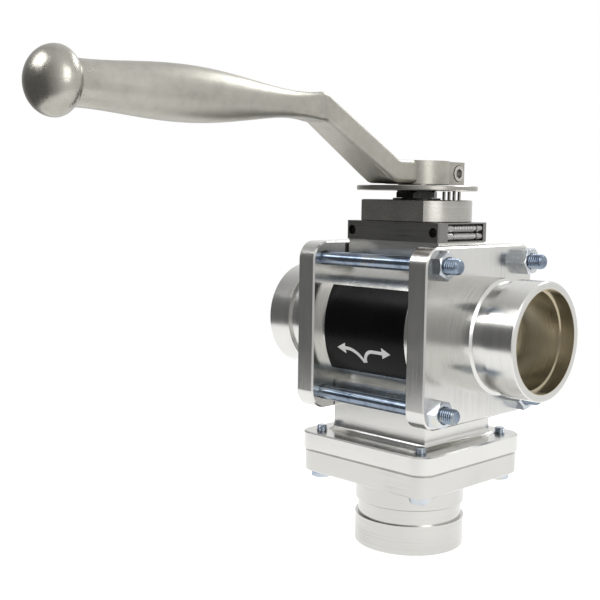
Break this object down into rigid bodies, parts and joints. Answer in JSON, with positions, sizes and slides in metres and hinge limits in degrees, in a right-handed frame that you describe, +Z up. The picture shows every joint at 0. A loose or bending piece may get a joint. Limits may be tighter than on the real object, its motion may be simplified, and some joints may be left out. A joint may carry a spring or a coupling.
{
  "type": "three way valve",
  "caption": "Three way bottom entry ball valve with grooved pipe ends, square end plates on tie rods, a square bottom flange and a long cast lever with a ball knob.",
  "frame": {"origin": "centre of the bottom port's end face, which is what it stands on", "axes": "+Z up along the stem, -Z out of the bottom port; +X out of the right side port, -X out of the left; -Y the way the lever points when both side ports are shut"},
  "size_m": [0.168, 0.282, 0.2482],
  "materials": {
    "body_aluminium": "satin machined",
    "plate_aluminium": "satin machined",
    "flange_aluminium": "satin machined",
    "sleeve_aluminium": "satin machined",
    "seal_rubber": "matte",
    "seat_ptfe": "matte",
    "zinc_screws": "bright zinc plate",
    "zinc_rods": "bright blue zinc plate",
    "zinc_nuts": "bright zinc plate",
    "pad_metal": "dark brushed",
    "plunger_steel": "turned",
    "bonnet_steel": "satin",
    "black_screws": "black oxide",
    "pin_steel": "dark oxide",
    "bush_bronze": "turned",
    "gland_black": "black oxide",
    "ball_steel": "polished",
    "stem_steel": "turned",
    "disc_steel": "satin",
    "washer_steel": "satin",
    "lever_cast": "bead blasted casting",
    "bolt_steel": "satin",
    "label_black": "satin black film",
    "arrow_white": "white print"
  },
  "bodies": {
    "housing": {"body": "body_aluminium", "right_end_plate": "plate_aluminium", "left_end_plate": "plate_aluminium", "bottom_flange": "flange_aluminium", "body_gaskets": "seal_rubber", "bottom_gasket": "seal_rubber", "side_seats": "seat_ptfe", "bottom_seat": "seat_ptfe", "seat_sleeve": "sleeve_aluminium", "flange_screws": "zinc_screws", "tie_rods": "zinc_rods", "tie_rod_nuts": "zinc_nuts", "pad": "pad_metal", "spring_plungers": "plunger_steel", "bonnet": "bonnet_steel", "bonnet_screws": "black_screws", "stop_pins": "pin_steel", "thrust_washer": "seat_ptfe", "stem_bush": "bush_bronze", "stem_packing": "seat_ptfe", "gland_follower": "gland_black", "label": "label_black", "flow_arrow": "arrow_white"},
    "rotor": {"ball": "ball_steel", "stem": "stem_steel", "gland_nut": "gland_black", "stop_disc": "disc_steel", "hub_washer": "washer_steel", "lever": "lever_cast", "pinch_bolt": "bolt_steel"}
  },
  "joints": [
    {"name": "lever_turn", "type": "hinge", "parent": "housing", "child": "rotor", "pos_m": [0, 0, 0.1205], "axis": [0, 0, 1], "range_deg": [-90, 90]}
  ]
}
